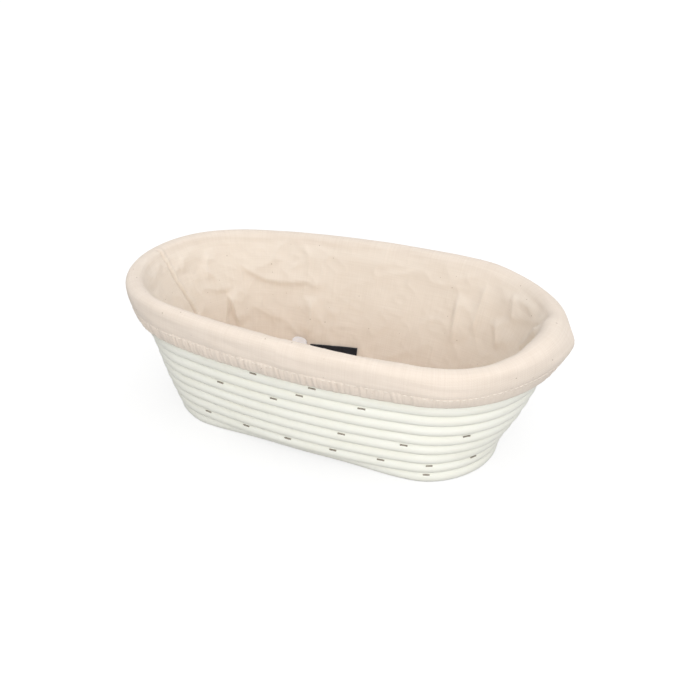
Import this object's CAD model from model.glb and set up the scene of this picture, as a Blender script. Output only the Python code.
# %% [markdown]
# # An oval proofing basket with its cloth liner
#
# A proofing basket holds bread dough while it rises. This one is wound from round canes, stapled round
# on round, and a loose cotton liner lies in it. The liner turns over the rim, where an elastic in its
# hem draws it tight.
#
# The engineering model is a fixed frame of named pieces. This script dresses it: it makes the round
# canes, the creased cloth and the sewing, sets the wire staples in their grooves, and gives the slat a
# finish.

# %% Load the frame
import math

import bmesh
import bpy
import numpy as np
from mathutils import Matrix, Vector


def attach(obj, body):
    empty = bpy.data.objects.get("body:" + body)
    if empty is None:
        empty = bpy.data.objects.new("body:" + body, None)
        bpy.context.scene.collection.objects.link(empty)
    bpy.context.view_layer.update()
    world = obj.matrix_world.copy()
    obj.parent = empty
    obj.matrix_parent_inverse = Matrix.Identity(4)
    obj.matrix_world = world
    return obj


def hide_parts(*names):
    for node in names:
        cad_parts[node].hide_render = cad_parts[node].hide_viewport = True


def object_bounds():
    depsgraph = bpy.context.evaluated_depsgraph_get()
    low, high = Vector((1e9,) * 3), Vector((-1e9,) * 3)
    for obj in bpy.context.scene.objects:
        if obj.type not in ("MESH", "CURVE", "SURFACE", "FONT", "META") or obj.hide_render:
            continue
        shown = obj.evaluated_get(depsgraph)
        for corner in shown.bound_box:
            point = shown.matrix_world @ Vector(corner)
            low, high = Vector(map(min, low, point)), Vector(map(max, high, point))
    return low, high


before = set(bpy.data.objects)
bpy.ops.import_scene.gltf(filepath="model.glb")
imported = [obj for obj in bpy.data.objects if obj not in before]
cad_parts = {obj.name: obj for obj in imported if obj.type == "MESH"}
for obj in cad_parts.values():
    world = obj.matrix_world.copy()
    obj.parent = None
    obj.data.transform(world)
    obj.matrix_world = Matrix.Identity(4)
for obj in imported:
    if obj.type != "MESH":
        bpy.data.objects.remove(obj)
cad_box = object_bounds()


def add_object(name, data):
    """A new object at the origin of the scene."""
    made = bpy.data.objects.new(name, data)
    bpy.context.scene.collection.objects.link(made)
    return made


def stands_for(piece, body, slot, *nodes):
    """Shows a piece in the place of nodes of the frame, on the body that carries them."""
    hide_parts(*nodes)
    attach(piece, body)


# %% [markdown]
# ## The oval
#
# Every round of cane is an oval of four arcs: two ends and two slightly bowed sides. Each lies at one
# distance from a common spine, so a place on the basket is an angle, which is the way that the wall
# faces, a distance from the spine and a height. Blender has no such curve, so a few lines of numpy give
# it. Sizes are millimetres here, and become metres when a mesh is made.

# %% Sizes of the basket
MM = 0.001
rim_length, rim_width = (float(high - low) / MM for low, high in list(zip(*cad_box))[:2])
SIDE_BULGE = 5.0
CANE_D = 7.5
CANE_GAP = 0.5
WALL_ROUNDS = 10
LEAN_LOW = 18.0
LEAN_HIGH = 17.0
BASE_CUT = 0.75
BASE_ROUNDS = 4
CLOTH_T = 0.7
LINER_GAP = 0.5
FLOOR_GAP = 0.3

cane_r = CANE_D / 2
pitch = CANE_D + CANE_GAP
base_z = cane_r - BASE_CUT
roll_r = cane_r + LINER_GAP + CLOTH_T / 2
rim_rho = rim_width / 2 - SIDE_BULGE - roll_r - CLOTH_T / 2
end_x = rim_length / 2 - rim_rho - roll_r - CLOTH_T / 2
side_y = (end_x**2 - SIDE_BULGE**2) / (2 * SIDE_BULGE)
spine_r = side_y + SIDE_BULGE
beta = math.atan(end_x / side_y)
print(f"oval: {rim_length:.1f} x {rim_width:.1f} mm, ends about x = {end_x:.1f} mm")

# %% Places on the oval


def oval(angle, rho):
    """Points at a distance rho from the spine, where the wall faces the given angle in radians."""
    angle = np.asarray(angle, float)
    facing = np.mod(angle, 2 * np.pi)
    back = np.abs(facing - np.pi / 2) <= beta
    front = np.abs(facing - 3 * np.pi / 2) <= beta
    x, y = np.cos(angle), np.sin(angle)
    spine_x = np.where(back | front, spine_r * x, np.where(x > 0, end_x, -end_x))
    spine_y = np.where(back, spine_r * y - side_y, np.where(front, spine_r * y + side_y, 0))
    return spine_x + rho * x, spine_y + rho * y


def angle_at(s, rho):
    """Angle at a distance s along the oval, from the middle of the back towards the left end."""
    side = (rho + spine_r) * beta
    end = rho * (np.pi - 2 * beta)
    d = np.abs(s)
    near, far = d / (rho + spine_r), np.pi - (2 * side + end - d) / (rho + spine_r)
    swing = np.where(d < side, near, np.where(d < side + end, beta + (d - side) / rho, far))
    return np.pi / 2 + np.sign(s) * swing


def girth(rho):
    return 4 * (rho + spine_r) * beta + 2 * rho * (np.pi - 2 * beta)


def round_places(rho, count):
    """Even places all round the oval: their distances along it and their angles."""
    s = np.linspace(-girth(rho) / 2, girth(rho) / 2, count, endpoint=False)
    return s, angle_at(s, rho)


def wrapped(value, whole=2 * np.pi):
    """The same place on a loop, counted from minus one half of the loop to one half."""
    return np.mod(value + whole / 2, whole) - whole / 2


print(f"girth: {girth(rim_rho):.0f} mm at the rim cane")

# %% Places on the wall


def step_lean(i):
    return math.radians(LEAN_LOW + (LEAN_HIGH - LEAN_LOW) * (i - 0.5) / WALL_ROUNDS)


climb = [np.zeros(2)]
for i in range(1, WALL_ROUNDS + 1):
    climb.append(climb[-1] + pitch * np.array([math.sin(step_lean(i)), math.cos(step_lean(i))]))
base_rho = rim_rho - climb[-1][0]


def centre(i):
    """Distance from the spine and height of the middle of a round: 0 is the outer base round."""
    if i <= 0:
        return np.array([base_rho + i * pitch, base_z])
    low = min(int(i), WALL_ROUNDS - 1)
    return np.array([base_rho, base_z]) + climb[low] + (i - low) * (climb[low + 1] - climb[low])


def up(i):
    lean = math.pi / 2 if i <= 0 else step_lean(max(i, 1))
    return np.array([math.sin(lean), math.cos(lean)])


def out(i):
    along = up(i)
    return np.array([along[1], -along[0]])


rim_middle = centre(WALL_ROUNDS)
print(f"wall: {WALL_ROUNDS} rounds up to a rim cane at {rim_middle[1]:.1f} mm")

# %% [markdown]
# ## A used basket
#
# The basket in the photograph is a little out of true. Its rim is twisted and dips at the right end,
# the front edge of its base is tucked in and up, and both ends have a hollow. One function moves the
# points of every mesh, so that the canes, the staples and the cloth stay together.

# %% How the basket has settled
RIM_TWIST = 0.036
RIM_RISE = 0.7
RIM_SAG = 0.3
RIM_DIP = 1.5
DIP_X, DIP_SPREAD = 92.0, 20.0
SINKING, RISING = 5, 3
TUCK_IN, TUCK_UP = 3.5, 2.0
TUCK_X, TUCK_SPREAD = -3.0, 52.0
TUCK_FRONT = (30.0, 48.0)
TUCK_TOP = (3.0, 12.0)
WAIST_REACH = (58.0, 94.0)
# Each hollow: its end, depth, height and spread
WAISTS = [(1, 3.5, 14.0, 17.0), (-1, 2.3, 52.0, 18.0)]


def eased(x):
    x = np.clip(x, 0, 1)
    return x * x * (3 - 2 * x)


def ramp(x, start, stop):
    """0 up to start, 1 from stop on, and a soft rise between them."""
    return eased((x - start) / (stop - start))


def bell(x):
    return np.exp(-(x**2))


def settled(points):
    """The points of the true basket, moved to where they are on the used one."""
    x, y, z = np.moveaxis(np.array(points, float), -1, 0)
    twist = RIM_TWIST * x * np.sign(y) * np.clip(np.abs(y) / rim_rho, 0, 1) ** 4
    twist = np.where(twist > 0, RIM_RISE * twist, twist)
    sag = RIM_SAG + RIM_DIP * bell((x - DIP_X) / DIP_SPREAD)
    power = np.where(twist > sag, RISING, SINKING)
    sunk = (twist - sag) * np.clip(z / rim_middle[1], 0, 1) ** power
    tuck = ramp(-y, *TUCK_FRONT) * (1 - ramp(z, *TUCK_TOP)) * bell(((x - TUCK_X) / TUCK_SPREAD) ** 2)
    waist = 0.0
    for end, depth, height, spread in WAISTS:
        waist = waist - end * depth * ramp(end * x, *WAIST_REACH) * bell((z - height) / spread)
    return np.stack([x + waist, y + TUCK_IN * tuck, z + sunk + TUCK_UP * tuck], axis=-1)


print(f"settled: {len(WAISTS)} hollow ends, base tucked in by {TUCK_IN} mm")

# %% [markdown]
# ## The camera
#
# The viewing angle was found by matching the grooves, the rim and the outline in the photograph. The
# camera stands about half a metre away, a little to the right of the front, and looks down. Its shift
# frames the picture without turning the camera.

# %% Camera
FRAME_PX = 700
FOCAL_PX = 831.4
MIDDLE_PX = (336.5, 354.8)
SENSOR_MM = 36.0
CLIP_NEAR, CLIP_FAR = 0.01, 100
VIEW_TARGET = np.array([0.0, 0.0, 40.0])
VIEW_DISTANCE = 480.0
VIEW_TURN = math.radians(22.99)
VIEW_RISE = math.radians(29.57)
VIEW_ROLL = math.radians(1.01)


def direction(turn, rise):
    """The way to something that stands at a turn from the front and a rise above the horizon."""
    level = math.cos(rise)
    return np.array([math.sin(turn) * level, -math.cos(turn) * level, math.sin(rise)])


camera_data = bpy.data.cameras.new("Camera")
camera_data.sensor_width = SENSOR_MM
camera_data.lens = FOCAL_PX / FRAME_PX * SENSOR_MM
camera_data.shift_x = (FRAME_PX / 2 - MIDDLE_PX[0]) / FRAME_PX
camera_data.shift_y = (MIDDLE_PX[1] - FRAME_PX / 2) / FRAME_PX
camera_data.clip_start = CLIP_NEAR
camera_data.clip_end = CLIP_FAR
camera = add_object("Camera", camera_data)
view_back = direction(VIEW_TURN, VIEW_RISE)
view_right = np.array([math.cos(VIEW_TURN), math.sin(VIEW_TURN), 0.0])
view_up = np.cross(view_back, view_right)
axes = Matrix(np.stack([view_right, view_up, view_back], axis=1).tolist()).to_4x4()
place = Matrix.Translation(Vector((VIEW_TARGET + VIEW_DISTANCE * view_back) * MM))
camera.matrix_world = place @ axes @ Matrix.Rotation(VIEW_ROLL, 4, "Z")
bpy.context.scene.camera = camera
bpy.context.scene.view_settings.view_transform = "Standard"
print(f"camera: lens {camera_data.lens:.1f} mm, {VIEW_DISTANCE:.0f} mm from the basket")

# %% [markdown]
# ## Node trees as expressions
#
# Finishes and repeated shapes are node trees. Wiring them by hand takes many lines, so one small class
# wraps a socket: its operators add Math nodes, and one method adds any other node. An expression such
# as `1 - mask` then reads as it would on paper.

# %% A socket that can be calculated with


class Socket:
    """An output of a node tree, which Python's operators and any node can be used on."""

    def __init__(self, tree, socket=None):
        self.tree = tree
        self.socket = socket

    def node(self, kind, sockets=None, output=0, **settings):
        """Adds a node: its settings first, then the values or links of its sockets."""
        made = self.tree.nodes.new(kind)
        for name, value in settings.items():
            setattr(made, name, value)
        for name, value in (sockets or {}).items():
            if isinstance(value, Socket):
                self.tree.links.new(value.socket, made.inputs[name])
            else:
                made.inputs[name].default_value = value
        return Socket(self.tree, made.outputs[output])

    def math(self, operation, *values, clamp=False):
        sockets = dict(enumerate(values))
        return self.node("ShaderNodeMath", sockets, operation=operation, use_clamp=clamp)

    def vector(self, operation, *values):
        return self.node("ShaderNodeVectorMath", dict(enumerate(values)), operation=operation)

    def clamped(self):
        return self.math("ADD", self, 0.0, clamp=True)

    def sine(self):
        return self.math("SINE", self)

    def absolute(self):
        return self.math("ABSOLUTE", self)

    def scaled(self, factor):
        return self.vector("MULTIPLY", self, factor)

    def part(self, axis):
        return self.node("ShaderNodeSeparateXYZ", {0: self}, output=axis)

    def mix(self, low, high):
        """A colour between two others, with this value as the share of the second."""
        return self.node("ShaderNodeMix", {0: self, 6: low, 7: high}, output=2, data_type="RGBA")

    def noise(self, detail=2.0, roughness=0.5, output=0):
        """Soft noise with this vector as its place, one wave to a unit."""
        sockets = {"Vector": self, "Scale": 1.0, "Detail": detail, "Roughness": roughness}
        return self.node("ShaderNodeTexNoise", sockets, output=output)

    def __add__(self, other):
        return self.math("ADD", self, other)

    def __radd__(self, other):
        return self.math("ADD", other, self)

    def __sub__(self, other):
        return self.math("SUBTRACT", self, other)

    def __rsub__(self, other):
        return self.math("SUBTRACT", other, self)

    def __mul__(self, other):
        return self.math("MULTIPLY", self, other)

    def __rmul__(self, other):
        return self.math("MULTIPLY", other, self)

    def __truediv__(self, other):
        return self.math("DIVIDE", self, other)

    def __rtruediv__(self, other):
        return self.math("DIVIDE", other, self)


def finish_of(name, constants, paint):
    """A material whose fixed values sit on the shader, and whose pattern comes from paint."""
    material = bpy.data.materials.new(name)
    material.use_nodes = True
    tree = material.node_tree
    shader = tree.nodes["Principled BSDF"]
    for socket, value in constants.items():
        shader.inputs[socket].default_value = value
    for socket, value in paint(Socket(tree)).items():
        tree.links.new(value.socket, shader.inputs[socket])
    return material


def bumped(height, strength, depth_mm):
    sockets = {"Strength": strength, "Distance": depth_mm * MM, "Height": height}
    return height.node("ShaderNodeBump", sockets)


print("socket class ready")

# %% [markdown]
# ## Light and floor
#
# The photograph has soft light from the front and above, and a white ground. A dim white world gives
# the even part, a sun with a wide disc the light from above, and a large round lamp near the camera
# lights the front. The floor is a pale sheet. It and the world look white to the camera and in
# reflections only, so the white ground adds no light to the basket, and the floor keeps its shadow.

# %% World, sun and floor
SKY_LEVEL = 0.26
SUN_LEVEL = 2.0
SUN_WIDTH = math.radians(110)
SUN_WAY = direction(math.radians(70), math.radians(80))
SUN_DISTANCE = 1.0
LAMP_POWER = 3.7
LAMP_SIZE = 0.7
LAMP_DISTANCE = 0.85
LAMP_WAY = direction(math.radians(22), math.radians(20))
FLOOR_COLOUR = (0.34, 0.34, 0.34, 1)
FLOOR_ROUGHNESS = 0.9
FLOOR_LIFT = 0.69
FLOOR_HALF = 12.0
DIRECT_RAYS = ("Is Camera Ray", "Is Glossy Ray", "Is Transmission Ray")


def seen_directly(start):
    """1 for rays from the camera, in reflections and through glass."""
    rays = [start.node("ShaderNodeLightPath", output=kind) for kind in DIRECT_RAYS]
    return (rays[0] + rays[1] + rays[2]).clamped()


world = bpy.data.worlds.new("Studio")
world.use_nodes = True
bpy.context.scene.world = world
sky = world.node_tree.nodes["Background"]
sky.inputs["Color"].default_value = (1, 1, 1, 1)
sky_strength = SKY_LEVEL + (1 - SKY_LEVEL) * seen_directly(Socket(world.node_tree))
world.node_tree.links.new(sky_strength.socket, sky.inputs["Strength"])


def add_light(name, kind, way, distance, **settings):
    """A light that shines from one side towards the middle of the basket."""
    data = bpy.data.lights.new(name, kind)
    for setting, value in settings.items():
        setattr(data, setting, value)
    light = add_object(name, data)
    light.location = VIEW_TARGET * MM + distance * way
    light.rotation_euler = Vector(way).to_track_quat("Z", "Y").to_euler()


add_light("High sun", "SUN", SUN_WAY, SUN_DISTANCE, energy=SUN_LEVEL, angle=SUN_WIDTH)
lamp_form = {"energy": LAMP_POWER, "shape": "DISK", "size": LAMP_SIZE}
add_light("Front lamp", "AREA", LAMP_WAY, LAMP_DISTANCE, **lamp_form)


def floor_paint(start):
    return {"Emission Color": seen_directly(start)}


floor_mesh = bpy.data.meshes.new("Floor")
corners = ((-1, -1), (1, -1), (1, 1), (-1, 1))
floor_mesh.from_pydata([(x * FLOOR_HALF, y * FLOOR_HALF, 0) for x, y in corners], [], [(0, 1, 2, 3)])
floor = add_object("Floor", floor_mesh)
floor_constants = {
    "Base Color": FLOOR_COLOUR,
    "Roughness": FLOOR_ROUGHNESS,
    "Emission Strength": FLOOR_LIFT,
}
floor_mesh.materials.append(finish_of("Pale floor", floor_constants, floor_paint))
print("light: sky", SKY_LEVEL, "and", len(bpy.data.lights), "lights")

# %% [markdown]
# ## The canes
#
# The basket is wound from long bleached canes. A cane of the wall goes round three times, climbs to the
# next round at the back, and has its ends pared to a slant there, to lie flush. A bevelled curve gives
# neither these ends nor the flat underside, so the script works out the line of each cane, and a
# Geometry Nodes tree sweeps a circle along it. The tree also makes the cane waver a little, cuts it
# flat on the ground, and stores how far along and round each point is, for the grain.

# %% Cane finish
CANE_LIGHT = (0.94, 0.94, 0.872, 1)
CANE_DARK = (0.87, 0.85, 0.73, 1)
GRAIN_LENGTH, GRAIN_WIDTH = 9.0, 0.35
BLOTCH_LENGTH, BLOTCH_WIDTH = 25.0, 4.0


def cane_paint(start):
    along = start.node("ShaderNodeAttribute", output="Fac", attribute_name="along") / MM
    ring = start.node("ShaderNodeAttribute", output="Vector", attribute_name="ring")
    ring_x, ring_y = ring.part("X") * cane_r, ring.part("Y") * cane_r

    def stretched(length, width):
        sockets = {"X": along / length, "Y": ring_x / width, "Z": ring_y / width}
        return start.node("ShaderNodeCombineXYZ", sockets)

    grain = stretched(GRAIN_LENGTH, GRAIN_WIDTH).noise(detail=3.0, roughness=0.6)
    blotch = stretched(BLOTCH_LENGTH, BLOTCH_WIDTH).noise(detail=2.0)
    tone = (0.55 * grain + 0.9 * blotch - 0.48).clamped()
    return {
        "Base Color": tone.mix(CANE_LIGHT, CANE_DARK),
        "Roughness": 0.42 + 0.22 * grain,
        "Normal": bumped(grain, 0.35, 0.12),
    }


cane_constants = {"Specular IOR Level": 0.35, "Sheen Weight": 0.05}
cane_finish = finish_of("Bleached cane", cane_constants, cane_paint)
print("finish:", cane_finish.name)

# %% Trees that grow a piece from a line
FLOAT, INT = "NodeSocketFloat", "NodeSocketInt"


def new_tree(name, sizes):
    """A geometry tree with named inputs, and its inputs as sockets."""
    tree = bpy.data.node_groups.new(name, "GeometryNodeTree")
    tree.interface.new_socket("Geometry", in_out="INPUT", socket_type="NodeSocketGeometry")
    tree.interface.new_socket("Geometry", in_out="OUTPUT", socket_type="NodeSocketGeometry")
    for label, kind in sizes.items():
        tree.interface.new_socket(label, in_out="INPUT", socket_type=kind)
    group_in = tree.nodes.new("NodeGroupInput")
    return tree, {s.name: Socket(tree, s) for s in group_in.outputs if s.name}


def stored(geometry, name, value, **settings):
    """The geometry with a value kept on its points under a name."""
    sockets = {"Geometry": geometry, "Name": name, "Value": value}
    return geometry.node("GeometryNodeStoreNamedAttribute", sockets, **settings)


def close_tree(geometry, material):
    """Ends a tree with plain geometry in one material."""
    real = geometry.node("GeometryNodeRealizeInstances", {"Geometry": geometry})
    smooth = real.node("GeometryNodeSetShadeSmooth", {"Geometry": real})
    dressed = smooth.node("GeometryNodeSetMaterial", {"Geometry": smooth, "Material": material})
    group_out = dressed.tree.nodes.new("NodeGroupOutput")
    dressed.tree.links.new(dressed.socket, group_out.inputs[0])


def grown(name, mesh, tree, sizes):
    """The object that a tree makes from a mesh, as a plain mesh with no modifier left."""
    piece = add_object(name, mesh)
    modifier = piece.modifiers.new("Growth", "NODES")
    modifier.node_group = tree
    for item in tree.interface.items_tree:
        if item.in_out == "INPUT" and item.name in sizes:
            modifier[item.identifier] = sizes[item.name]
    depsgraph = bpy.context.evaluated_depsgraph_get()
    made = bpy.data.meshes.new_from_object(piece.evaluated_get(depsgraph), depsgraph=depsgraph)
    piece.modifiers.clear()
    piece.data = made
    return piece


print("tree helpers ready")

# %% A tree that sweeps a cane along its line
cane_inputs = {
    "Cane radius": FLOAT,
    "Sides": INT,
    "Waver": FLOAT,
    "Waver length": FLOAT,
    "Ground": FLOAT,
}
cane_tree, given = new_tree("Wound cane", cane_inputs)
line = given["Geometry"].node("GeometryNodeMeshToCurve", {"Mesh": given["Geometry"]})
spot = line.node("GeometryNodeInputPosition")
waves = spot.vector("DIVIDE", spot, given["Waver length"]).noise(detail=1.0, output=1)
waves = waves.vector("SUBTRACT", waves, (0.5, 0.5, 0.5)).scaled(given["Waver"])
line = line.node("GeometryNodeSetPosition", {"Geometry": line, "Offset": waves})
line = stored(line, "along", line.node("GeometryNodeSplineParameter", output="Length"))
round_form = {"Resolution": given["Sides"], "Radius": given["Cane radius"]}
circle = line.node("GeometryNodeCurvePrimitiveCircle", round_form)
circle = stored(circle, "ring", spot.vector("NORMALIZE", spot), data_type="FLOAT_VECTOR")
share = line.node("GeometryNodeInputNamedAttribute", {"Name": "share"})
sweep = {"Curve": line, "Profile Curve": circle, "Scale": share, "Fill Caps": True}
tube = line.node("GeometryNodeCurveToMesh", sweep)
height = spot.part("Z")
above = height.math("MAXIMUM", height, given["Ground"])
flat = spot.node("ShaderNodeCombineXYZ", {"X": spot.part("X"), "Y": spot.part("Y"), "Z": above})
tube = tube.node("GeometryNodeSetPosition", {"Geometry": tube, "Position": flat})
close_tree(tube, cane_finish)
print("tree:", cane_tree.name, "with", len(cane_tree.nodes), "nodes")

# %% The lines of the canes
END_STOPS = 40
SIDE_STOPS = 16
THINNEST = 0.06
SHOWN_CANE_R = pitch / 2 + 0.03
CANE_SIZES = {
    "Cane radius": SHOWN_CANE_R * MM,
    "Sides": 16,
    "Waver": 0.16 * MM,
    "Waver length": 28.0 * MM,
    "Ground": 0.0,
}
CANE_ROUNDS = {
    "base_cane": (-BASE_ROUNDS, 0),
    "lower_wall_cane": (1, 3),
    "middle_wall_cane": (4, 6),
    "upper_wall_cane": (7, 9),
    "rim_cane": (10, 10),
}


def cane_stops(first, last):
    """Stops of a cane from its pared head to its pared tail: angle, round, share, side it keeps."""
    rise = np.arange(1, SIDE_STOPS) / SIDE_STOPS
    back = np.pi / 2 - beta + 2 * beta * rise
    left = np.linspace(np.pi / 2 + beta, 3 * np.pi / 2 - beta, END_STOPS, endpoint=False)
    front = np.linspace(3 * np.pi / 2 - beta, 3 * np.pi / 2 + beta, SIDE_STOPS, endpoint=False)
    right = np.linspace(3 * np.pi / 2 + beta, 5 * np.pi / 2 - beta, END_STOPS + 1)
    level = np.concatenate([left, front, right])
    head = np.maximum(THINNEST, rise)
    tail = np.maximum(THINNEST, 1 - rise)
    stops = [(a, first, w, -1) for a, w in zip(back, head)]
    for i in range(first, last + 1):
        stops += [(a, i, 1, 0) for a in level]
        if i < last:
            stops += [(a, i + f, 1, 0) for a, f in zip(back, rise)]
    return stops + [(a, last, w, 1) for a, w in zip(back, tail)]


def line_mesh(name, points, closed=False):
    """A mesh of edges along a line."""
    mesh = bpy.data.meshes.new(name)
    count = len(points)
    edges = [(i, (i + 1) % count) for i in range(count if closed else count - 1)]
    mesh.from_pydata((settled(points) * MM).tolist(), edges, [])
    return mesh


def mark(mesh, label, values):
    """Stores a value for each point of a mesh."""
    layer = mesh.attributes.new(label, "FLOAT", "POINT")
    layer.data.foreach_set("value", np.ravel(values).astype(np.float32))


def wound_cane(name, first, last):
    """A cane that is as much thicker in places as the settled basket is stretched there."""
    stops = cane_stops(first, last)
    points, ahead = [], []
    for angle, i, w, side in stops:
        place = centre(i) + side * SHOWN_CANE_R * (1 - w) * up(i)
        for row, (rho, z) in ((points, place), (ahead, place + up(i))):
            x, y = oval(angle, rho)
            row.append((float(x), float(y), z))
    stretch = np.linalg.norm(settled(ahead) - settled(points), axis=1) - 1
    mesh = line_mesh(name, points)
    mark(mesh, "share", np.array([stop[2] for stop in stops]) * (1 + np.maximum(stretch, 0)))
    return grown(name, mesh, cane_tree, CANE_SIZES)


for node, (first, last) in CANE_ROUNDS.items():
    cane = wound_cane("wound_" + node, first, last)
    stands_for(cane, "basket", "cane", node)
    print(cane.name, "rounds", first, "to", last, "with", len(cane.data.polygons), "faces")

# %% [markdown]
# ## Slat and staples
#
# The slat that the base is wound on and the wire staples already have their real shape in the frame.
# The slat only gets a finish. The staples are copied and moved with the settled canes, so that each
# stays in its groove. Object coordinates are enough here, because these finishes don't have to follow a
# surface.

# %% Slat and staples
SLAT_LIGHT = (0.74, 0.66, 0.49, 1)
SLAT_DARK = (0.58, 0.48, 0.31, 1)
SLAT_GRAIN = (60, 1500, 1500)
WIRE_LIGHT = (0.52, 0.48, 0.42, 1)
WIRE_DARK = (0.26, 0.22, 0.18, 1)
TARNISH, SCRATCH = (900, 900, 900), (4000, 4000, 4000)
WELD = 1e-6


def slat_paint(start):
    spot = start.node("ShaderNodeTexCoord", output="Object")
    grain = spot.scaled(SLAT_GRAIN).noise(detail=3.0, roughness=0.6)
    return {
        "Base Color": grain.mix(SLAT_LIGHT, SLAT_DARK),
        "Roughness": 0.55 + 0.25 * grain,
        "Normal": bumped(grain, 0.4, 0.15),
    }


def wire_paint(start):
    spot = start.node("ShaderNodeTexCoord", output="Object")
    tarnish = spot.scaled(TARNISH).noise(detail=2.0)
    scratch = spot.scaled(SCRATCH).noise()
    return {
        "Base Color": (1.8 * tarnish - 0.4).clamped().mix(WIRE_LIGHT, WIRE_DARK),
        "Roughness": 0.35 + 0.3 * tarnish,
        "Normal": bumped(scratch, 0.2, 0.05),
    }


slat_finish = finish_of("Split wood", {"Specular IOR Level": 0.3}, slat_paint)
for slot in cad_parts["base_slat"].material_slots:
    slot.material = slat_finish
wire_finish = finish_of("Tarnished wire", {"Metallic": 0.6}, wire_paint)


def set_staples(name, node):
    """The staples of a node, moved with the canes that they hold together."""
    shape = bmesh.new()
    shape.from_mesh(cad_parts[node].data)
    bmesh.ops.remove_doubles(shape, verts=shape.verts, dist=WELD)
    places = settled(np.array([point.co for point in shape.verts]) / MM) * MM
    for point, place in zip(shape.verts, places):
        point.co = place
    mesh = bpy.data.meshes.new(name)
    shape.to_mesh(mesh)
    shape.free()
    mesh.materials.append(wire_finish)
    return add_object(name, mesh)


for node in ("base_staples", "lower_wall_staples", "upper_wall_staples"):
    staples = set_staples("set_" + node, node)
    stands_for(staples, "basket", "staple_wire", node)
    print(staples.name, "with", len(staples.data.polygons), "faces")

# %% [markdown]
# ## The liner's cloth
#
# The liner is undyed cotton in plain weave. Some yarns are thicker than others, and small brown flecks
# of seed husk are left in the cloth. The pattern reads the cloth's own UV map, which is laid out in
# millimetres along and across the yarns, so it follows every fold. The weave is bump only, because it
# is finer than a mesh can be.

# %% Cloth finish
CLOTH_LIGHT = (0.828, 0.739, 0.652, 1)
CLOTH_DARK = (0.75, 0.652, 0.56, 1)
INSIDE_LIGHT = (0.885, 0.805, 0.715, 1)
INSIDE_DARK = (0.815, 0.73, 0.635, 1)
FLECK_COLOUR = (0.30, 0.20, 0.13, 1)
YARN = 0.55
YARN_RUN = 0.03
CLOUD = 14.0
FLECK_CELL = 11.0


def cloth_paint(start):
    spot = start.node("ShaderNodeUVMap", uv_map="cloth")
    weave = (spot.part("X") * (math.pi / YARN)).sine() * (spot.part("Y") * (math.pi / YARN)).sine()
    warp = spot.scaled((1 / YARN, YARN_RUN, 0)).noise(detail=1.0)
    weft = spot.scaled((YARN_RUN, 1 / YARN, 0)).noise(detail=1.0)
    cloud = spot.scaled((1 / CLOUD, 1 / CLOUD, 0)).noise(detail=3.0)
    cell = {"Vector": spot.scaled((1 / FLECK_CELL, 1 / FLECK_CELL, 0)), "Scale": 1.0}
    near = start.node("ShaderNodeTexVoronoi", cell, output="Distance", voronoi_dimensions="2D")
    chance = start.node("ShaderNodeTexVoronoi", cell, output="Color", voronoi_dimensions="2D").part("X")
    fleck = ((0.08 * chance - 0.042 - near) * 90).clamped()
    tone = (0.9 * warp + 0.9 * weft + 0.7 * cloud - 0.8).clamped()
    inside = start.node("ShaderNodeAttribute", output="Fac", attribute_name="inside")
    cloth = tone.mix(inside.mix(CLOTH_LIGHT, INSIDE_LIGHT), inside.mix(CLOTH_DARK, INSIDE_DARK))
    return {
        "Base Color": (0.6 * fleck).mix(cloth, FLECK_COLOUR),
        "Roughness": 0.82 + 0.12 * cloud,
        "Normal": bumped(0.3 * weave + 0.8 * warp + 0.8 * weft, 0.35, 0.25),
    }


cloth_constants = {
    "Diffuse Roughness": 0.3,
    "Specular IOR Level": 0.1,
    "Sheen Weight": 0.1,
    "Sheen Roughness": 0.6,
}
cloth_finish = finish_of("Undyed cotton", cloth_constants, cloth_paint)
print("finish:", cloth_finish.name)

# %% [markdown]
# ## Folds in the liner
#
# The strip of cloth round the wall is a little too long for the basket, so it stands off the canes in
# folds. A cloth simulation gives folds, but not these ones, and the photograph shows each of them. So
# they are a short list: the line of each fold on the wall, how far it stands in, and how wide its steep
# and its gentle side are. A place on the wall is the distance along the oval from the middle of the
# back, with the left end positive, and the height. With the distance drawn to the right and the height
# upwards, the gentle side lies to the left of a line as it is listed. Low noise keeps the cloth between
# the folds from looking pressed.

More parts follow.
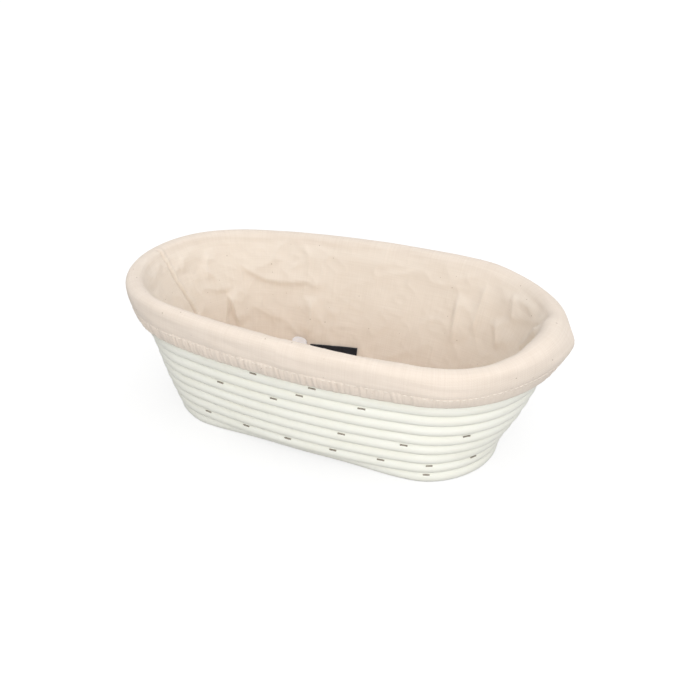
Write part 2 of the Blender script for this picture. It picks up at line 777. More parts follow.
# %% The list of folds
FOLD_RHO = 55.0
FOLDS = {
    "main crease": ([(31, 52), (45, 55), (60, 53), (74, 54), (87, 60), (97, 67)], 3.0, 1.0, 11),
    "branch": ([(60, 66), (67, 67), (74, 62), (83, 61)], 1.5, 1.5, 6),
    "short crease": ([(97, 49), (110, 50), (125, 55)], 1.5, 0.9, 7),
    "pocket, right edge": ([(94, 24), (97, 31), (101, 42), (104, 47)], 4.2, 0.5, 8),
    "pocket, left edge": ([(108, 24), (105, 36), (104, 47)], 1.2, 6, 1.2),
    "low diagonal": ([(50, 29), (69, 32), (87, 39)], 1.8, 2.2, 9),
    "lip above the label": ([(40, 19), (39, 35), (40, 48)], 4.6, 7, 2.2),
    "right of the lip": ([(20, 37), (31, 41)], 1.1, 2, 6),
    "left end, upright": ([(116, 57), (110, 74)], 1.6, 2, 6),
    "left end, soft": ([(132, 66), (128, 77)], 1.4, 3, 5),
    "left end, small": ([(117, 70), (116, 78)], 0.6, 3, 3),
    "right end, tall": ([(-57, 36), (-56, 46), (-55, 66)], 3.4, 1.3, 6),
    "right end, second": ([(-68, 44), (-69, 55), (-71, 77)], 2.2, 2.4, 6),
    "right end, third": ([(-92, 43), (-82, 60)], 2.6, 2.4, 6),
    "right end, high": ([(-96, 62), (-89, 79)], 2.0, 2, 5),
    "right end, under the rim": ([(-112, 73), (-103, 76), (-93, 76)], 1.2, 1.8, 5),
    "right end, flap": ([(-112, 51), (-120, 62), (-126, 69), (-131, 76), (-136, 84)], 5.5, 1.6, 7),
    "front, left": ([(196, 24), (205, 45), (199, 66)], 1.8, 2, 8),
    "front, slanting": ([(222, 60), (246, 50), (268, 52)], 1.5, 1.5, 9),
    "front, right": ([(-232, 28), (-222, 47), (-226, 68)], 1.8, 2, 8),
    "front, low": ([(-196, 36), (-176, 30), (-160, 36)], 1.2, 2, 7),
}
CREST = 0.35
TAPER = 3.5


def across(s, z, points):
    """Signed distance to a line on the unrolled wall, positive to its left, and the share along it."""
    points = np.asarray(points, float)
    steps = np.diff(points, axis=0)
    lengths = np.hypot(*steps.T)
    starts = np.concatenate([[0], np.cumsum(lengths)])
    distance = np.full(np.shape(s), np.inf)
    share = np.zeros(np.shape(s))
    for (x, y), (dx, dy), length, start in zip(points, steps, lengths, starts):
        t = np.clip(((s - x) * dx + (z - y) * dy) / length**2, 0, 1)
        gap = np.hypot(s - x - t * dx, z - y - t * dy)
        side = np.where(dx * (z - y) - dy * (s - x) >= 0, 1.0, -1.0)
        nearer = gap < np.abs(distance)
        distance = np.where(nearer, side * gap, distance)
        share = np.where(nearer, (start + t * length) / starts[-1], share)
    return distance, share


def fold_height(s, z, points, lift, steep, gentle):
    distance, share = across(s, z, points)
    width = np.where(distance >= 0, gentle, steep)
    crest = np.hypot(distance, CREST) - CREST
    return lift * eased(share * TAPER) * eased((1 - share) * TAPER) * np.exp(-crest / width)


print(f"folds: {len(FOLDS)} listed")

# %% Slack between the folds, and the side seam
NOISE_GRID = 97
SWELL, SMALL_SWELL, SWELL_MIDDLE = 1.3, 0.5, 0.6
RIDGE, SMALL_RIDGE = 0.9, 0.45
SEAM = [(129, 8), (130, 30), (132, 42), (137, 55), (140, 64), (142, 82)]
LIP_HEIGHT, LIP_PLACE, LIP_WIDTH = 0.9, 1.5, 1.2
GROOVE_DEPTH, GROOVE_WIDTH = 1.6, 0.45


def wave_noise(x, y, seed):
    """Smooth noise from 0 to 1 on a grid of random values, one wave to a unit."""
    values = np.random.default_rng(seed).random((NOISE_GRID, NOISE_GRID))
    i, j = np.floor(x).astype(int), np.floor(y).astype(int)
    fx, fy = eased(x - i), eased(y - j)

    def corner(a, b):
        return values[(i + a) % NOISE_GRID, (j + b) % NOISE_GRID]

    low = corner(0, 0) + (corner(1, 0) - corner(0, 0)) * fx
    high = corner(0, 1) + (corner(1, 1) - corner(0, 1)) * fx
    return low + (high - low) * fy


def ridged(noise):
    """Thin ridges where noise passes its middle."""
    return (1 - np.abs(2 * noise - 1)) ** 3


def crumple(s, z):
    """Slack cloth between the folds: wide swells and faint ridges, in millimetres."""
    wide = wave_noise(s / 33 + 9, z / 27 + 4, 5)
    small = wave_noise(s / 14 + z / 40, z / 12, 6)
    ridge = ridged(wave_noise(s / 19 - z / 25, z / 17 + s / 31, 7))
    small_ridge = ridged(wave_noise(s / 8 + z / 13, z / 7 - s / 15, 9))
    return SWELL * wide + SMALL_SWELL * small - SWELL_MIDDLE + RIDGE * ridge + SMALL_RIDGE * small_ridge


def seam_height(s, z):
    """The side seam: a narrow groove with a raised lip beside it."""
    distance = across(s, z, SEAM)[0]
    lip = LIP_HEIGHT * bell((distance - LIP_PLACE) / LIP_WIDTH)
    return lip - GROOVE_DEPTH * bell(distance / GROOVE_WIDTH)


def loose_cloth(s, z):
    """How far the folds and the slack between them stand in from the canes, in millimetres."""
    total = crumple(s, z)
    for fold in FOLDS.values():
        total = total + fold_height(s, z, *fold)
    return total


sample = loose_cloth(np.linspace(-141, 141, 283), np.full(283, 50.0))
print(f"folds: up to {sample.max():.1f} mm high at half height")

# %% [markdown]
# ## The strip of the liner
#
# One strip of cloth makes the liner's wall and turns over the rim. It is a fine grid: columns round the
# oval and rows from the seam at the floor, up the wall, over the rim cane and down to the hem. Solidify
# then gives it the thickness of the cloth. At the right end it is slack, and stands out in a soft
# corner.

# %% Section of the strip
ROLL_STEPS = 16
ROLL_END = 17
LINE_STEPS = 6
WALL_STEP, ROLL_STEP = 1.35, 0.9
DROP = [(5.0, -2.8), (5.25, -4.6), (5.3, -6.4), (5.1, -8.2), (4.85, -9.8)]
FOOT_Z = base_z + cane_r + FLOOR_GAP


def on_round(i):
    """The middle of the cloth beside a round of the wall."""
    return centre(i) - roll_r * out(i)


def rim_place(e, h):
    """A place beside the rim cane: e outwards and h upwards along the wall, from its middle."""
    return rim_middle + e * out(WALL_ROUNDS) + h * up(WALL_ROUNDS)


def smooth_line(points):
    """A smooth line through points, which at each point runs along the way between its neighbours."""
    points = np.asarray(points, float)
    ends = np.vstack([2 * points[0] - points[1], points, 2 * points[-1] - points[-2]])
    t = np.arange(LINE_STEPS)[:, None] / LINE_STEPS
    made = []
    for a, b, c, d in zip(ends, ends[1:], ends[2:], ends[3:]):
        bend = (2 * a - 5 * b + 4 * c - d) * t**2 + (3 * b - a - 3 * c + d) * t**3
        made.append(0.5 * (2 * b + (c - a) * t + bend))
    return np.vstack(made + [points[-1:]])


def evenly(points, step):
    """The same line with points about one step apart, and the length to each of them."""
    length = np.concatenate([[0], np.cumsum(np.hypot(*np.diff(points, axis=0).T))])
    stops = np.linspace(0, length[-1], int(round(length[-1] / step)) + 1)
    return np.stack([np.interp(stops, length, axis) for axis in np.asarray(points).T], axis=1), stops


first_round = on_round(1)
foot = first_round - up(1) * (first_round[1] - FOOT_Z - CLOTH_T / 2) / up(1)[1]
wall_line = np.array([foot] + [on_round(i) for i in range(1, WALL_ROUNDS + 1)])
turns = np.radians(np.linspace(180, ROLL_END, ROLL_STEPS))
roll_line = np.array([rim_place(roll_r * math.cos(a), roll_r * math.sin(a)) for a in turns])
drop_line = smooth_line([roll_line[-1]] + [rim_place(e, h) for e, h in DROP])
wall_rows, wall_lengths = evenly(wall_line, WALL_STEP)
roll_rows, roll_lengths = evenly(np.vstack([roll_line, drop_line[1:]]), ROLL_STEP)
wall_length = wall_lengths[-1]
section = np.vstack([wall_rows, roll_rows[1:]])
lengths = np.concatenate([wall_lengths, wall_length + roll_lengths[1:]])
steps = np.gradient(section, axis=0)
steps = steps / np.hypot(*steps.T)[:, None]
normals = np.stack([-steps[:, 1], steps[:, 0]], axis=1)
print(f"strip: {len(section)} rows over {lengths[-1]:.0f} mm of cloth")

# %% How the cloth stands off the wall
# Each pouch: its place along the wall, its depth, and its reach to the left and to the right
POUCHES = [(-138.0, 3.0, 9.0, 12.0), (-156.0, 2.8, 11.0, 16.0)]
POUCH_TOP = 1.0
POUCH_BELOW, POUCH_ABOVE = 7.5, 5.0
LOOSE_FROM_FOOT = (0.0, 7.0)
LOOSE_UNDER_RIM = (-8.0, 8.0)
SEAM_UNDER_RIM = (-7.0, -1.0)
PRESSED = -0.1


def pouch(s, u):
    """Slack cloth that hangs into the right end from the inner side of the rim."""
    rise = u - wall_length - POUCH_TOP
    upright = bell(rise / np.where(rise < 0, POUCH_BELOW, POUCH_ABOVE))
    total = 0.0
    for place, depth, left, right in POUCHES:
        total = total + depth * upright * bell((s - place) / np.where(s > place, left, right))
    return total


def stand_off(s, u):
    """How far the cloth stands off its place, at a length u up the strip from the floor."""
    z = np.interp(np.minimum(u, wall_length), wall_lengths, wall_rows[:, 1])
    below_rim = wall_length - u
    loose = loose_cloth(s, z) * ramp(u, *LOOSE_FROM_FOOT) * ramp(below_rim, *LOOSE_UNDER_RIM)
    seam = seam_height(s, z) * ramp(below_rim, *SEAM_UNDER_RIM)
    return np.maximum(PRESSED, loose + pouch(s, u)) + seam


sample = stand_off(np.linspace(-200, 200, 401), np.full(401, wall_length - 4))
print(f"cloth: up to {sample.max():.1f} mm off the wall, just under the rim")

# %% How the cloth hangs outside the rim
RIM_LUMP = 0.35
LUMP_LENGTH = 21.0
SLACK = 4.7
SLACK_ANGLE = math.radians(3)
SLACK_LEAN, SLACK_MIDDLE = 0.012, 6.0
SLACK_BACK, SLACK_FRONT = math.radians(10.5), math.radians(22.5)
SLACK_POWER = 1.1
FRONT_SWELL = 1.2
FRONT_ANGLE = math.radians(280)
FRONT_SPREAD = math.radians(45)
TIGHT_SPREAD = math.radians(55)
TIGHT_SHARE = 0.55
CLOSE_E = 4.6


def lumps(x, y):
    """Slow swells in the cloth round the rim, in millimetres, by a place counted in waves."""
    return RIM_LUMP * 2 * (wave_noise(x, y, 8) - 0.15)


def slack_at(angle, fall):
    """How far cloth stands out at a fall below the rim: a corner at the right, a swell in front."""
    turn = wrapped(angle) - SLACK_ANGLE - SLACK_LEAN * (SLACK_MIDDLE - fall)
    width = np.where(turn > 0, SLACK_BACK, SLACK_FRONT)
    height = ramp(fall, -5, 5) * (1 - 0.65 * ramp(fall, 5, 13))
    corner = SLACK * height * np.exp(-np.abs(turn / width) ** SLACK_POWER)
    front = bell((np.mod(angle, 2 * np.pi) - FRONT_ANGLE) / FRONT_SPREAD)
    return corner + FRONT_SWELL * front * ramp(fall, -1, 7) * (1 - 0.35 * ramp(fall, 11, 15))


def tightness(angle):
    """The elastic holds the cloth close to the canes at the left end."""
    return bell(wrapped(angle - np.pi) / TIGHT_SPREAD)


def drawn_in(angle, rho, fall):
    """Distance from the spine after the elastic has drawn the cloth in, below the rim's middle."""
    canes = rim_middle[0] + CLOSE_E - fall * math.tan(step_lean(WALL_ROUNDS))
    loose = np.maximum(rho - canes, 0)
    return rho - TIGHT_SHARE * tightness(angle) * loose * ramp(fall, 0, 5)


print(f"cloth: up to {SLACK} mm slack at the right end")

# %% Meshes of cloth


def cloth_sheet(name, points, grid, finish, thickness=0):
    """A smooth sheet from its points and a grid, which is faces and the UV coordinates of their corners.

    Half of its thickness lies on either side of the points. UV coordinates are millimetres of flat cloth.
    """
    faces, uvs = grid
    mesh = bpy.data.meshes.new(name)
    mesh.from_pydata((settled(points).reshape(-1, 3) * MM).tolist(), [], faces)
    mesh.uv_layers.new(name="cloth").data.foreach_set("uv", np.ravel(uvs).astype(np.float32))
    mesh.polygons.foreach_set("use_smooth", np.ones(len(mesh.polygons), bool))
    mesh.update()
    mesh.materials.append(finish)
    sheet = add_object(name, mesh)
    if thickness:
        solid = sheet.modifiers.new("Thickness", "SOLIDIFY")
        solid.thickness = thickness * MM
        solid.offset = 0
    return sheet


def loop_faces(uvs, closed_rows=False):
    """Faces of a grid that closes round the oval, and the UV coordinates at their corners.

    The grid of UV coordinates, [row, column], has one more column than the points.
    """
    rows, columns = len(uvs) - closed_rows, uvs.shape[1] - 1
    index = np.arange(rows * columns).reshape(rows, columns)
    low, high = (index, np.roll(index, -1, axis=0)) if closed_rows else (index[:-1], index[1:])
    quads = np.stack([low, high, np.roll(high, -1, axis=1), np.roll(low, -1, axis=1)], axis=-1)
    low_uv, high_uv = uvs[:-1], uvs[1:]
    corners = np.stack([low_uv[:, :-1], high_uv[:, :-1], high_uv[:, 1:], low_uv[:, 1:]], axis=2)
    return quads.reshape(-1, 4).tolist(), corners.reshape(-1, 2)


def band_uvs(s, heights):
    """UV coordinates of a band round the oval, which is cut open at the front."""
    return np.stack(np.broadcast_arrays(np.append(s, -s[0])[None, :], heights[:, None]), axis=-1)


print("cloth helpers ready")

# %% Mesh of the strip
STRIP_COLUMNS = 560
STRIP_SAMPLES = 4000
# Parts of the wall with finer columns: from, to, and how many times as fine
FINE_PARTS = [(88, 146, 2.0), (-75, 88, 1.3)]
NEAR_RIM = (8, 16)
INSIDE_FALL = -5
PALE_UNDER_RIM = (-6.0, 4.0)
PALE_FROM_FOOT = (5.0, 50.0)


def strip_places(columns):
    """Places of the columns along the wall, closer together where the folds are fine."""
    half = girth(FOLD_RHO) / 2
    places = np.linspace(-half, half, STRIP_SAMPLES)
    closeness = np.ones(STRIP_SAMPLES)
    for low, high, times in FINE_PARTS:
        closeness[(places > low) & (places < high)] = times
    filled = np.concatenate([[0], np.cumsum((closeness[1:] + closeness[:-1]) / 2)])
    return np.interp(np.linspace(0, filled[-1], columns, endpoint=False), filled, places)


def strip_points(s):
    angle = angle_at(s, FOLD_RHO)
    away = section - rim_middle
    turn = np.arctan2(away[:, 1], away[:, 0])[:, None]
    near_rim = 1 - ramp(np.hypot(*away.T), *NEAR_RIM)[:, None]
    fall = np.where(away[:, 0] > 0, -away[:, 1], INSIDE_FALL)[:, None]
    lump = lumps(s / LUMP_LENGTH + turn, turn * 1.3 + 6) * near_rim
    lift = stand_off(s[None, :], lengths[:, None]) + lump
    rho = section[:, :1] + lift * normals[:, :1]
    rho = drawn_in(angle, rho, fall) + slack_at(angle, fall)
    x, y = oval(angle, rho)
    return np.stack([x, y, section[:, 1:] + lift * normals[:, 1:]], axis=-1)


s = strip_places(STRIP_COLUMNS)
grid = loop_faces(band_uvs(s * girth(rim_rho) / girth(FOLD_RHO), lengths))
strip = cloth_sheet("liner_strip", strip_points(s), grid, cloth_finish, CLOTH_T)
paler = ramp(wall_length - lengths, *PALE_UNDER_RIM) * ramp(lengths, *PALE_FROM_FOOT)
mark(strip.data, "inside", np.repeat(paler, STRIP_COLUMNS))
stands_for(strip, "liner", "liner_cloth", "liner_wall", "liner_cuff")
print("strip:", len(strip.data.polygons), "faces before its thickness")

# %% [markdown]
# ## The gathered hem
#
# The strip's edge is folded up inside round an elastic and sewn. The elastic is shorter than the cloth,
# so the hem puckers into small upright gathers, most of all at the front and left. Its grid is finer
# than the strip's, because the gathers are only a few millimetres apart.

# %% Hem
HEM_COLUMNS = 1440
HEM_T = 0.5
HEM_STEP = 0.8
HEM_TOP = 5.2
HEM_LINE = [
    (4.9, -HEM_TOP), (5.2, -6.6), (5.42, -8.2), (5.58, -10.0), (5.65, -11.8), (5.6, -13.4),
    (5.35, -14.8), (4.9, -15.3), (4.42, -14.6), (4.35, -12.5), (4.35, -9.0),
]
OUTER_END, OUTER_FADE = 8.2, 2.5
PUFF = (0.0, 1.8)
HEM_WOBBLE = 0.35
GATHER_SEED = 11
GATHER_STEP = (1.4, 2.6)
GATHER_RISE = (0.45, 1.5)
GATHER_LEAN = (-0.15, 0.15)
GATHER_FALL = (6.0, 9.5)
GATHER_WIDTH = 0.6
SMOOTH_ANGLE = math.radians(322)
SMOOTH_SPREAD = math.radians(48)


def gathers(s, fall):
    """Small upright puckers that the elastic draws into the hem, by place along it and distance down."""
    random = np.random.default_rng(GATHER_SEED)
    total = np.zeros(np.broadcast(s, fall).shape)
    spot, whole = 0.0, girth(rim_rho)
    while spot < whole:
        rise, lean = random.uniform(*GATHER_RISE), random.uniform(*GATHER_LEAN)
        step = random.uniform(*GATHER_STEP)
        away = wrapped(s - spot - lean * (fall - HEM_TOP), whole)
        total = np.maximum(total, rise * (1 - (away / (GATHER_WIDTH * step)) ** 2))
        spot += step
    return total * ramp(fall, *GATHER_FALL)


def gather_share(angle):
    """The hem is gathered most at the front and left, and lies almost smooth at the front's right."""
    smooth = bell(wrapped(angle - SMOOTH_ANGLE) / SMOOTH_SPREAD)
    return (1 - 0.8 * smooth) * (1 - 0.5 * tightness(angle))


def hem_lump(s, fall):
    return lumps(s / LUMP_LENGTH, fall / 9 + 6)


hem_rows, hem_lengths = evenly(smooth_line([rim_place(e, h) for e, h in HEM_LINE]), HEM_STEP)


def hem_points(s, angle):
    down = hem_lengths[:, None]
    fall = rim_middle[1] - hem_rows[:, 1:]
    outer = np.clip(1 - (down - OUTER_END) / OUTER_FADE, 0, 1)
    lump = hem_lump(s, fall) * outer * ramp(down, *PUFF)
    pucker = gathers(s[None, :], fall) * gather_share(angle) * outer
    rho = drawn_in(angle, hem_rows[:, :1] + pucker + lump, fall) + slack_at(angle, fall)
    z = hem_rows[:, 1:] - HEM_WOBBLE * wave_noise(s[None, :] / 9, fall / 20, 12) * ramp(down, 0, 5)
    x, y = oval(angle, rho)
    return np.stack([x, y, z], axis=-1)


s, angle = round_places(rim_rho, HEM_COLUMNS)
grid = loop_faces(band_uvs(s, hem_lengths))
hem = cloth_sheet("gathered_hem", hem_points(s, angle), grid, cloth_finish, HEM_T)
stands_for(hem, "liner", "liner_cloth", "hem_casing")
print("hem:", len(hem.data.polygons), "faces before its thickness")

# %% Elastic
ELASTIC_SECTION = [(5.0, -10.4), (5.0, -14.2), (4.7, -14.2), (4.7, -10.4)]
ELASTIC_COLUMNS = 360
ELASTIC_FALL = 12.0
ELASTIC_LIGHT = (0.86, 0.85, 0.81, 1)
ELASTIC_DARK = (0.70, 0.68, 0.63, 1)
ELASTIC_RIB = (0.02, 1.6, 0)


def elastic_paint(start):
    spot = start.node("ShaderNodeUVMap", uv_map="cloth")
    rib = spot.scaled(ELASTIC_RIB).noise(detail=0.0)
    return {"Base Color": rib.mix(ELASTIC_LIGHT, ELASTIC_DARK), "Normal": bumped(rib, 0.5, 0.2)}


s, angle = round_places(rim_rho, ELASTIC_COLUMNS)
elastic_rows = np.array([rim_place(e, h) for e, h in ELASTIC_SECTION])
x, y = oval(angle, elastic_rows[:, :1] + slack_at(angle, ELASTIC_FALL))
z = np.repeat(elastic_rows[:, 1:], ELASTIC_COLUMNS, axis=1)
grid = loop_faces(band_uvs(s, np.arange(len(elastic_rows) + 1.0)), closed_rows=True)
elastic_finish = finish_of("Woven elastic", {"Roughness": 0.8}, elastic_paint)
elastic = cloth_sheet("hem_elastic_band", np.stack([x, y, z], axis=-1), grid, elastic_finish)
stands_for(elastic, "liner", "elastic", "hem_elastic")
print("elastic:", len(elastic.data.polygons), "faces")

# %% [markdown]
# ## The floor of the liner
#
# An oval panel closes the liner below and lies on the base canes. It is a fan of rings from its middle
# to its seam, with low swells, and a ridge at the edge where the seam allowance is turned.

# %% Floor panel
FLOOR_COLUMNS = 240
FLOOR_RINGS = 34
FIRST_RING = 0.02
SEAM_GAP = 0.15
FLOOR_SWELL, FLOOR_SMALL_SWELL = 0.9, 0.35
EDGE_RIDGE, RIDGE_PLACE, RIDGE_WIDTH = 0.5, 0.965, 0.015
FLAT_EDGE = 0.1
PANEL_UV = 400

floor_rho = foot[0] - CLOTH_T / 2 - SEAM_GAP
floor_mid = FOOT_Z + CLOTH_T / 2
edge_x, edge_y = oval(round_places(floor_rho, FLOOR_COLUMNS)[1], floor_rho)
ring = np.linspace(FIRST_RING, 1, FLOOR_RINGS)[:, None]
x, y = ring * edge_x, ring * edge_y
swell = FLOOR_SWELL * wave_noise(x / 23 + 30, y / 19 + 20, 21)
swell = swell + FLOOR_SMALL_SWELL * wave_noise(x / 9, y / 8 + x / 30, 22)
ridge = EDGE_RIDGE * bell((ring - RIDGE_PLACE) / RIDGE_WIDTH)
rings = np.stack([x, y, floor_mid + swell * eased((1 - ring) / FLAT_EDGE) + ridge], axis=-1)
faces, uvs = loop_faces(np.concatenate([rings, rings[:, :1]], axis=1)[..., :2] + PANEL_UV)

# A fan of triangles closes the small hole inside the first ring
points = np.vstack([rings.reshape(-1, 3), rings[0].mean(axis=0)])
fan = [(len(points) - 1, i, (i + 1) % FLOOR_COLUMNS) for i in range(FLOOR_COLUMNS)]
fan_uvs = points[np.ravel(fan), :2] + PANEL_UV
grid = (faces + fan, np.vstack([uvs, fan_uvs]))
panel = cloth_sheet("liner_floor_panel", points, grid, cloth_finish, CLOTH_T)
mark(panel.data, "inside", np.ones(len(points)))
stands_for(panel, "liner", "liner_cloth", "liner_floor")
print("floor panel:", len(panel.data.polygons), "faces")

# %% [markdown]
# ## Sewing
#
# Rows of stitches hold the hem, the floor and the side seam. A stitch dives into the cloth at both
# ends, so a flattened ball with a few dozen faces stands for it. A tree puts one at each step along a
# line, turned along it, with small differences from a fixed seed.

# %% A tree that sews a line
THREAD_LIGHT = (0.90, 0.83, 0.745, 1)
THREAD_DARK = (0.82, 0.745, 0.655, 1)
THREAD_TWIST = (2500, 2500, 2500)
STITCH_LEAST, STITCH_MOST = 0.85, 1.1


def thread_paint(start):
    spot = start.node("ShaderNodeTexCoord", output="Object")
    twist = spot.scaled(THREAD_TWIST).noise(detail=1.0)
    return {
        "Base Color": twist.mix(THREAD_LIGHT, THREAD_DARK),
        "Roughness": 0.6 + 0.2 * twist,
        "Normal": bumped(twist, 0.3, 0.1),
    }


thread_constants = {"Specular IOR Level": 0.25, "Sheen Weight": 0.1}
thread_finish = finish_of("Cotton thread", thread_constants, thread_paint)
sewing_inputs = {"Stitch length": FLOAT, "Stitch step": FLOAT, "Thread width": FLOAT, "Seed": INT}
sewing_tree, given = new_tree("Row of stitches", sewing_inputs)
line = given["Geometry"].node("GeometryNodeMeshToCurve", {"Mesh": given["Geometry"]})
even = {"Curve": line, "Length": given["Stitch step"]}
line = line.node("GeometryNodeResampleCurve", even, mode="LENGTH")
ball = line.node("GeometryNodeMeshUVSphere", {"Segments": 8, "Rings": 6, "Radius": 0.5})
way = line.node("GeometryNodeInputTangent")
turned = way.node("FunctionNodeAlignRotationToVector", {"Vector": way}, axis="X")
spread = {2: STITCH_LEAST, 3: STITCH_MOST, "Seed": given["Seed"]}
loose = line.node("FunctionNodeRandomValue", spread, output=1)
width = given["Thread width"]
stitch_form = {"X": given["Stitch length"] * loose, "Y": width * loose, "Z": width}
stitch_size = loose.node("ShaderNodeCombineXYZ", stitch_form)
copies = {"Points": line, "Instance": ball, "Rotation": turned, "Scale": stitch_size}
close_tree(line.node("GeometryNodeInstanceOnPoints", copies), thread_finish)
print("tree:", sewing_tree.name, "with", len(sewing_tree.nodes), "nodes")

# %% Rows of stitches
THREAD_W = 0.5
RING_POINTS = 600
STITCH_OUT, STITCH_FALL, STITCH_RISE = 5.46, 7.1, 0.25
FLOOR_SEAM_IN, FLOOR_SEAM_UP = 1.4, 0.75
SIDE_POINTS = 60
SIDE_FROM, SIDE_TO, SIDE_LIFT = 3, 6, -0.1


def on_wall(s, w, lift):
    """Places on the inside of the wall: along it, up from its foot, and lifted off the cloth."""
    s, w = np.broadcast_arrays(np.asarray(s, float), np.asarray(w, float))
    off = stand_off(s, w) + CLOTH_T / 2 + lift
    rho, z, aside, upward = (np.interp(w, lengths, v) for v in (*section.T, *normals.T))
    x, y = oval(angle_at(s, FOLD_RHO), rho + off * aside)
    return np.stack([x, y, z + off * upward], axis=-1)


def ring_line(rho, z, on_hem=False):
    """A level line round the oval. On the hem it follows the swells and bridges the gathers."""
    s, angle = round_places(rim_rho, RING_POINTS)
    if on_hem:
        fall = rim_middle[1] - z
        raised = rho + hem_lump(s, fall) + STITCH_RISE * gather_share(angle)
        rho = drawn_in(angle, raised, fall) + slack_at(angle, fall)
    x, y = oval(angle, rho)
    return np.stack([x, y, np.full(RING_POINTS, z)], axis=-1)


def sewn(name, node, points, closed, length, step, seed):
    sizes = {
        "Stitch length": length * MM,
        "Stitch step": step * MM,
        "Thread width": THREAD_W * MM,
        "Seed": seed,
    }
    row = grown(name, line_mesh(name, points, closed), sewing_tree, sizes)
    stands_for(row, "liner", "thread", node)
    print(name, "with", len(row.data.polygons), "faces")


hem_seam = ring_line(*rim_place(STITCH_OUT + HEM_T / 2, -STITCH_FALL), on_hem=True)
sewn("hem_stitches", "hem_thread", hem_seam, closed=True, length=2.3, step=3.1, seed=31)
floor_seam = ring_line(floor_rho - FLOOR_SEAM_IN, floor_mid + FLOOR_SEAM_UP)
sewn("floor_stitches", "floor_thread", floor_seam, closed=True, length=2.4, step=3.4, seed=32)
seam_z = np.linspace(FOOT_Z + SIDE_FROM, rim_middle[1] - SIDE_TO, SIDE_POINTS)
seam_s = np.interp(seam_z, [z for s, z in SEAM], [s for s, z in SEAM])
side_seam = on_wall(seam_s, np.interp(seam_z, wall_rows[:, 1], wall_lengths), SIDE_LIFT)
sewn("side_stitches", "side_thread", side_seam, closed=False, length=2.2, step=3.3, seed=33)

# %% [markdown]
# ## The labels
#
# Two bare labels are sewn to the far wall just above the floor: a black woven one, a little askew,
# and a small white satin one that is folded into a loop and bows away from the wall.
# Each is a thin grid that follows the folded cloth under it.

# %% Label finishes
LABEL_BLACK = (0.012, 0.012, 0.016, 1)
LABEL_EDGE = (0.05, 0.05, 0.06, 1)
LABEL_WHITE = (0.93, 0.92, 0.96, 1)
LABEL_SHADE = (0.87, 0.86, 0.90, 1)
LABEL_RIB = (0.4, 5, 0)
BLACK_W, BLACK_H = 33.0, 10.0
WHITE_W, WHITE_H = 10.0, 13.0
EDGE_W = 0.7


def label_weave(start):
    spot = start.node("ShaderNodeUVMap", uv_map="cloth")
    return spot, spot.scaled(LABEL_RIB).noise(detail=1.0)


def black_paint(start):
    spot, rib = label_weave(start)
    from_ends = BLACK_W / 2 - (spot.part("X") - BLACK_W / 2).absolute()
    from_sides = BLACK_H / 2 - (spot.part("Y") - BLACK_H / 2).absolute()
    edge = spot.math("MINIMUM", from_ends, from_sides)
    selvedge = (2.0 - edge * (2.0 / EDGE_W)).clamped()
    return {
        "Base Color": (selvedge * rib).mix(LABEL_BLACK, LABEL_EDGE),
        "Roughness": 0.6 + 0.2 * rib,
        "Normal": bumped(rib, 0.4, 0.1),
    }


def white_paint(start):
    rib = label_weave(start)[1]
    return {
        "Base Color": rib.mix(LABEL_WHITE, LABEL_SHADE),
        "Roughness": 0.35 + 0.2 * rib,
        "Normal": bumped(rib, 0.25, 0.08),
    }


black_finish = finish_of("Black woven label", {"Specular IOR Level": 0.25}, black_paint)
white_finish = finish_of("White satin label", {"Sheen Weight": 0.2}, white_paint)
print("finishes:", black_finish.name, "and", white_finish.name)

# %% Label meshes
LABEL_T = 0.35
BLACK_PLACE, BLACK_RISE = 21.5, 0.3
BLACK_TILT = 0.09
BLACK_LIFT, BLACK_BOW = 0.45, 0.5
BLACK_GRID = (67, 25)
WHITE_PLACE, WHITE_RISE = 45.5, 1.0
WHITE_LIFT, WHITE_LOOP = 0.5, 2.6
WHITE_DROOP = 2.0
WHITE_GRID = (21, 61)


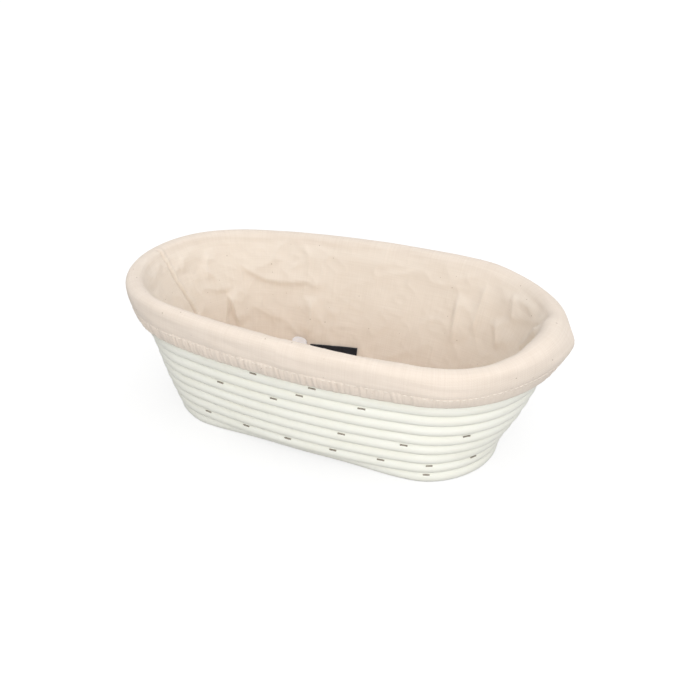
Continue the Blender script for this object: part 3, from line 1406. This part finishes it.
def label_sheet(name, points, width, height, finish):
    """A thin open grid, with UV coordinates in millimetres over its flat size."""
    rows, columns = points.shape[:2]
    index = np.arange(rows * columns).reshape(rows, columns)
    quads = np.stack([index[:-1, :-1], index[:-1, 1:], index[1:, 1:], index[1:, :-1]], axis=-1)
    quads = quads.reshape(-1, 4)
    u, v = np.meshgrid(np.linspace(0, width, columns), np.linspace(0, height, rows))
    uvs = np.stack([u, v], axis=-1).reshape(-1, 2)[quads]
    return cloth_sheet(name, points, (quads.tolist(), uvs), finish, LABEL_T)


along = np.linspace(-BLACK_W / 2, BLACK_W / 2, BLACK_GRID[0])
aside, rise = np.meshgrid(along, np.linspace(0, BLACK_H, BLACK_GRID[1]))
lift = BLACK_LIFT + BLACK_BOW * eased(rise / BLACK_H - 0.3)
w = BLACK_RISE + rise + BLACK_TILT * (BLACK_W / 2 - aside)
black_points = on_wall(BLACK_PLACE + aside, w, lift)
black = label_sheet("black_woven_label", black_points, BLACK_W, BLACK_H, black_finish)
stands_for(black, "liner", "black_label", "black_label")

# The white label goes up beside the wall, turns over in a loose loop and comes down in front
turn = np.linspace(0, 1, WHITE_GRID[1])
bow = np.sin(np.pi * turn)
aside, rise = np.meshgrid(np.linspace(-1, 1, WHITE_GRID[0]), WHITE_H * bow**0.8)
w = WHITE_RISE + rise - WHITE_DROOP * np.abs(aside) ** 3 * rise / WHITE_H
lift = WHITE_LIFT + WHITE_LOOP * eased(turn) * (0.4 + 0.6 * bow**2)
white_points = on_wall(WHITE_PLACE + aside * WHITE_W / 2, w, lift[:, None])
white = label_sheet("white_satin_label", white_points, WHITE_W, 2 * WHITE_H, white_finish)
stands_for(white, "liner", "white_label", "white_label")
print("labels:", len(black.data.polygons), "and", len(white.data.polygons), "faces")

# %% [markdown]
# ## What the cloth was cut to
#
# The frame wants the flat size of each sheet of cloth. The strip was a straight band as long as the rim
# and as wide as the section that it follows, the hem is the part of it that is folded round the
# elastic, and the floor was an oval.

# %% Sheets
rim_girth = girth(rim_rho) * MM
panel_size = (2 * (end_x + floor_rho) * MM, 2 * (SIDE_BULGE + floor_rho) * MM)
shoelace = np.abs(np.sum(edge_x * np.roll(edge_y, -1) - np.roll(edge_x, -1) * edge_y)) / 2
print(f"strip cut {rim_girth / MM:.0f} x {lengths[-1] + hem_lengths[-1]:.0f} mm with its hem")
